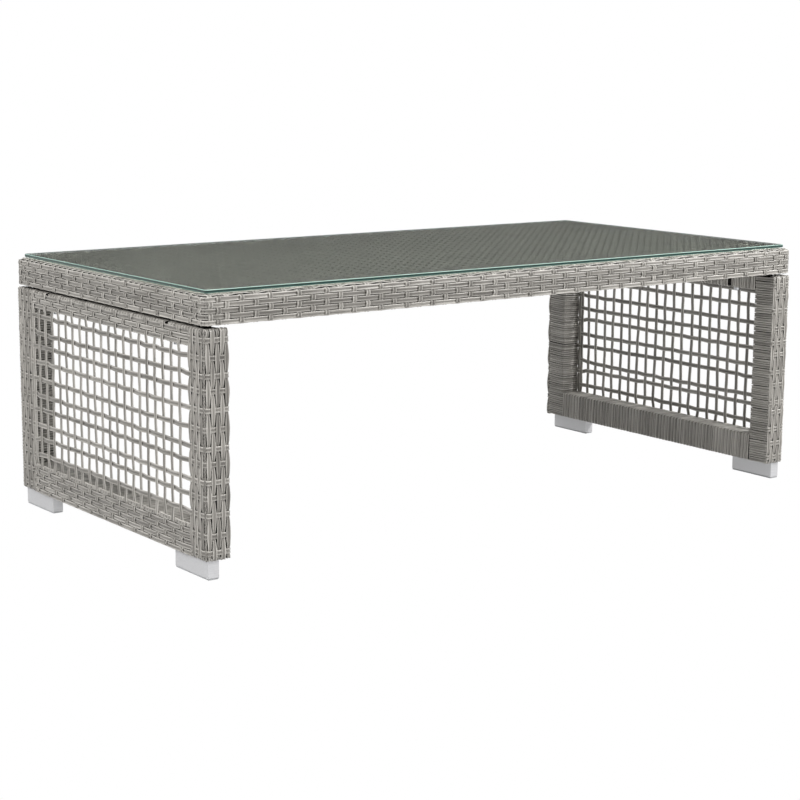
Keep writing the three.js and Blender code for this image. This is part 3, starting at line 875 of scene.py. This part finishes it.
def plastic_material(name, colour, roughness, sheen=0.5):
    """Moulded plastic, or a powder coat, with a fine grain."""
    material, nodes, links, shader = new_material(name)
    coords = nodes.new("ShaderNodeTexCoord")
    grain = noise_node(nodes, links, coords.outputs["Object"], 900, 2).outputs["Fac"]
    link_colours(nodes, links, shader, grain, [(0.35, tuple(c * 0.85 for c in colour)), (0.65, colour)])
    link_bump(nodes, links, shader, grain, 0.2, 0.2 * MM)
    shader.inputs["Roughness"].default_value = roughness
    shader.inputs["Specular IOR Level"].default_value = sheen
    return material


def lets_lamps_through(nodes, links, shader, tint):
    """Rays from the lamps pass straight through, so what lies under the glass is lit."""
    passing = nodes.new("ShaderNodeBsdfTransparent")
    passing.inputs["Color"].default_value = (*tint, 1)
    shadow = nodes.new("ShaderNodeLightPath").outputs["Is Shadow Ray"]
    mix_by_ray(nodes, links, shadow, shader.outputs["BSDF"], passing.outputs["BSDF"], "Material Output")


GLASS_TINT = (0.86, 0.895, 0.86)


def glass_material():
    """Clear glass with a faint green tint and the slight waviness of a toughened sheet."""
    material, nodes, links, shader = new_material("clear_glass")
    shader.inputs["Base Color"].default_value = (*GLASS_TINT, 1)
    shader.inputs["Roughness"].default_value = 0.0
    shader.inputs["IOR"].default_value = 1.5
    shader.inputs["Transmission Weight"].default_value = 1
    coords = nodes.new("ShaderNodeTexCoord")
    waves = noise_node(nodes, links, coords.outputs["Object"], 6, 1).outputs["Fac"]
    link_bump(nodes, links, shader, waves, 0.02, 1 * MM)
    lets_lamps_through(nodes, links, shader, GLASS_TINT)
    return material


def glass_edge_material(low, high):
    """The green of the sheet seen edge on, with pale bands along its top and bottom arrises that are a
    painted highlight.
    """
    material, nodes, links, shader = new_material("glass_edge")
    coords = nodes.new("ShaderNodeTexCoord")
    axes = nodes.new("ShaderNodeSeparateXYZ")
    links.new(coords.outputs["Object"], axes.inputs[0])
    across = nodes.new("ShaderNodeMapRange")
    across.inputs["From Min"].default_value = low * MM
    across.inputs["From Max"].default_value = high * MM
    links.new(axes.outputs["Z"], across.inputs["Value"])
    noise = noise_node(nodes, links, coords.outputs["Object"], 14, 2).outputs["Fac"]
    wobble = math_node(nodes, links, "MULTIPLY", noise, 0.12)
    place = math_node(nodes, links, "ADD", across.outputs[0], wobble)
    # Painted highlight: the pale bands at the top and bottom of the edge stand for light caught on the
    # arrises.
    arris_highlight, deep, middle = (0.36, 0.52, 0.46), (0.005, 0.028, 0.022), (0.014, 0.07, 0.055)
    stops = [(0.1, arris_highlight), (0.24, middle), (0.5, deep), (0.84, deep), (0.97, arris_highlight)]
    link_colours(nodes, links, shader, place, stops)
    shader.inputs["Roughness"].default_value = 0.12
    shader.inputs["IOR"].default_value = 1.5
    return material


# ---- Pieces that aren't woven ----

FOOT_BEVEL, GLIDE_BEVEL, RIB_BEVEL = 0.8 * MM, 0.2 * MM, 0.3 * MM
GLIDE_RIB_PITCH = 4.0 * MM
GLIDE_RIB_SHARE = 0.62  # of the pitch that a rib takes up
GLIDE_PLATE_SHARE = 0.35  # of a glide's height that its plate takes up
RIB_OVERLAP = 0.1 * MM  # how far the ribs go up into the plate


def add_box(shape, low, high, width, segments):
    """Adds a box with rounded edges to a bmesh."""
    made = bmesh.ops.create_cube(shape, size=1)["verts"]
    bmesh.ops.scale(shape, vec=high - low, verts=made)
    bmesh.ops.translate(shape, vec=(high + low) / 2, verts=made)
    edges = list({edge for vertex in made for edge in vertex.link_edges})
    bmesh.ops.bevel(shape, geom=edges, offset=width, segments=segments, profile=0.5, affect="EDGES")


def bevelled_box(name, low, high, width, segments):
    """A box with rounded edges as a new object, in metres."""
    shape = bmesh.new()
    add_box(shape, Vector(low), Vector(high), width, segments)
    mesh = bpy.data.meshes.new(name)
    shape.to_mesh(mesh)
    shape.free()
    return add_object(name, mesh)


def ribbed_glide(name, low, high):
    """A pad whose underside is cut into short ribs across its width."""
    plate_low = high.z - (high.z - low.z) * GLIDE_PLATE_SHARE
    glide = bevelled_box(name, (low.x, low.y, plate_low), high, GLIDE_BEVEL, 1)
    shape = bmesh.new()
    shape.from_mesh(glide.data)
    count = round((high.y - low.y) / GLIDE_RIB_PITCH)
    pitch = (high.y - low.y) / count
    for i in range(count):
        start = low.y + i * pitch + pitch * (1 - GLIDE_RIB_SHARE) / 2
        corner_low = Vector((low.x, start, low.z))
        corner_high = Vector((high.x, start + pitch * GLIDE_RIB_SHARE, plate_low + RIB_OVERLAP))
        add_box(shape, corner_low, corner_high, RIB_BEVEL, 1)
    shape.to_mesh(glide.data)
    shape.free()
    return glide


def glass_plate(material, edge_material):
    """The glass sheet, with rounded corners and a bevelled edge in its own material."""
    low, high = (Vector(corner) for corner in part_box("glass_top"))
    radius, arris = 4 * MM, 0.7 * MM
    levels = [(low.z, arris), (low.z + arris, 0.0), (high.z - arris, 0.0), (high.z, arris)]
    shape = bmesh.new()
    rings = []
    for z, inset in levels:
        ring = []
        for corner, (sx, sy) in enumerate(((1, 1), (-1, 1), (-1, -1), (1, -1))):
            for step in range(TURN_STEPS + 1):
                angle = (corner + step / TURN_STEPS) * QUARTER
                x = sx * (high.x - radius) + (radius - inset) * math.cos(angle)
                y = sy * (high.y - radius) + (radius - inset) * math.sin(angle)
                ring.append(shape.verts.new((x, y, z)))
        rings.append(ring)
    shape.faces.new(rings[0][::-1])
    shape.faces.new(rings[-1])
    count = len(rings[0])
    for below, above in zip(rings, rings[1:]):
        for i in range(count):
            side = shape.faces.new((below[i], below[(i + 1) % count], above[(i + 1) % count], above[i]))
            side.material_index = 1
    mesh = bpy.data.meshes.new("glass_plate")
    shape.to_mesh(mesh)
    shape.free()
    register(add_object("glass_plate", mesh), material, "glass", "glass", "glass_top")
    mesh.materials.append(edge_material)


def feet(metal, plastic):
    for side in ("left", "right"):
        for end in ("front", "rear"):
            foot = f"{side}_{end}_foot"
            block = bevelled_box(f"{foot}_block", *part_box(foot), FOOT_BEVEL, 3)
            register(block, metal, "foot_metal", "table", foot)
            glide = f"{side}_{end}_glide"
            pad = ribbed_glide(f"{glide}_pad", *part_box(glide))
            register(pad, plastic, "glide", "table", glide)


def paint(names, material):
    for name in names:
        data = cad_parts[name].data
        data.materials.clear()
        data.materials.append(material)


def paint_frame():
    """Materials for the CAD nodes that are shown as they are."""
    # A dark powder coat on the frame, made near black so that the gaps between the strands, where the tubes
    # show, read darker: partly the coat's own colour, partly painted shade.
    coat_and_gap_shade = plastic_material("dark_coat_and_gap_shade", (0.012, 0.011, 0.01), 0.75, sheen=0.15)
    steel = metal_material("zinc_plated_steel", (0.5, 0.51, 0.52), 0.3, (500, 500, 500))
    black = plastic_material("black_plastic", (0.02, 0.02, 0.02), 0.5)
    clear = plastic_material("clear_soft_plastic", (0.75, 0.8, 0.79), 0.25)
    names = list(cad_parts)
    bare = [n for n in names if "weave" not in n]
    paint([n for n in bare if n.startswith("top_") or n.endswith(("_post", "_rail"))], coat_and_gap_shade)
    paint([n for n in names if n.endswith(("_bolt", "_nut"))], steel)
    paint([n for n in names if n.endswith("_spacer")], black)
    paint([n for n in names if n.startswith("bumper_")], clear)


# ---- Stage, light and camera ----

CAMERA_PLACE = Vector((-1.9554, -2.5930, 0.7531))
CAMERA_AZIMUTH = -36.525
CAMERA_ELEVATION = 10.377
CAMERA_ROLL = 0.376
CAMERA_LENS = 86.07

# Each lamp: place, what it is aimed at, size and power. The last one is low, to light under the tabletop.
LAMPS = {
    "key": ((1.9, -1.5, 1.85), (0.2, 0, 0.25), 0.65, 72),
    "fill": ((-3.2, 0.2, 2.4), (-0.2, 0, 0.2), 0.8, 58),
    "low": ((-1.6, -3.0, 0.6), (0.3, 0, 0.2), 0.8, 27),
}
FLOOR_REACH = 30.0
FLOOR_GREY = 0.52


def camera():
    a, e, r = (math.radians(v) for v in (CAMERA_AZIMUTH, CAMERA_ELEVATION, CAMERA_ROLL))
    back = Vector((math.sin(a) * math.cos(e), -math.cos(a) * math.cos(e), math.sin(e)))
    level = Vector((0, 0, 1)).cross(back).normalized()
    upright = back.cross(level)
    right = level * math.cos(r) + upright * math.sin(r)
    up = upright * math.cos(r) - level * math.sin(r)
    data = bpy.data.cameras.new("camera")
    data.lens = CAMERA_LENS
    data.sensor_width = 36
    data.clip_end = 60
    cam = add_object("camera", data)
    cam.matrix_world = Matrix((
        (right.x, up.x, back.x, CAMERA_PLACE.x),
        (right.y, up.y, back.y, CAMERA_PLACE.y),
        (right.z, up.z, back.z, CAMERA_PLACE.z),
        (0, 0, 0, 1),
    ))
    bpy.context.scene.camera = cam


def area_light(name, place, aim, size, power):
    data = bpy.data.lights.new(name, "AREA")
    data.shape = "DISK"
    data.size = size
    data.energy = power
    light = add_object(name, data)
    light.location = place
    light.rotation_mode = "QUATERNION"
    light.rotation_quaternion = (Vector(aim) - Vector(place)).to_track_quat("-Z", "Y")


def white_floor():
    """White to the camera and in reflections, with no shadow, and a grey that throws light back up."""
    mesh = bpy.data.meshes.new("floor")
    r = FLOOR_REACH
    mesh.from_pydata([(-r, -r, 0), (r, -r, 0), (r, r, 0), (-r, r, 0)], [], [(0, 1, 2, 3)])
    floor = add_object("floor", mesh)
    material, nodes, links, shader = new_material("pale_floor")
    shader.inputs["Base Color"].default_value = (FLOOR_GREY, FLOOR_GREY, FLOOR_GREY, 1)
    shader.inputs["Roughness"].default_value = 0.9
    white = nodes.new("ShaderNodeEmission")
    path = nodes.new("ShaderNodeLightPath")
    seen = math_node(nodes, links, "MAXIMUM", path.outputs["Is Camera Ray"], path.outputs["Is Glossy Ray"])
    mix_by_ray(nodes, links, seen, shader.outputs["BSDF"], white.outputs["Emission"], "Material Output")
    mesh.materials.append(material)


def studio():
    """A white backdrop. Its light is white at the horizon, soft overhead and dim between, to keep the glass
    clear."""
    world = bpy.data.worlds.new("studio")
    world.use_nodes = True
    nodes, links = world.node_tree.nodes, world.node_tree.links
    coords = nodes.new("ShaderNodeTexCoord")
    axes = nodes.new("ShaderNodeSeparateXYZ")
    links.new(coords.outputs["Generated"], axes.inputs[0])
    sky = ramp(nodes, [(0.035, (0.6,) * 3), (0.07, (0.025,) * 3), (0.5, (0.1,) * 3), (0.8, (1.0,) * 3)])
    links.new(axes.outputs["Z"], sky.inputs["Fac"])
    light = nodes["Background"]
    links.new(sky.outputs["Color"], light.inputs["Color"])
    light.inputs["Strength"].default_value = 2.0
    white = nodes.new("ShaderNodeBackground")
    white.inputs["Color"].default_value = (1, 1, 1, 1)
    seen = nodes.new("ShaderNodeLightPath").outputs["Is Camera Ray"]
    mix_by_ray(nodes, links, seen, light.outputs["Background"], white.outputs["Background"], "World Output")
    bpy.context.scene.world = world


camera()
white_floor()
studio()
for name, (place, aim, size, power) in LAMPS.items():
    area_light(name, place, aim, size, power)
bpy.context.scene.view_settings.view_transform = "Standard"
wicker = wicker_material("wicker_strand", (0.085, 0.079, 0.07), (0.23, 0.218, 0.198), (0.49, 0.47, 0.436))
weave_tabletop(wicker)
for side in ("left", "right"):
    weave_panel(side, wicker)
feet(metal_material("satin_foot_metal", (0.62, 0.62, 0.63), 0.55, (40, 700, 700), metallic=0.6),
     plastic_material("glide_plastic", (0.5, 0.51, 0.52), 0.6))
paint_frame()
glass_plate(glass_material(), glass_edge_material(glass_low[2], glass_high[2]))
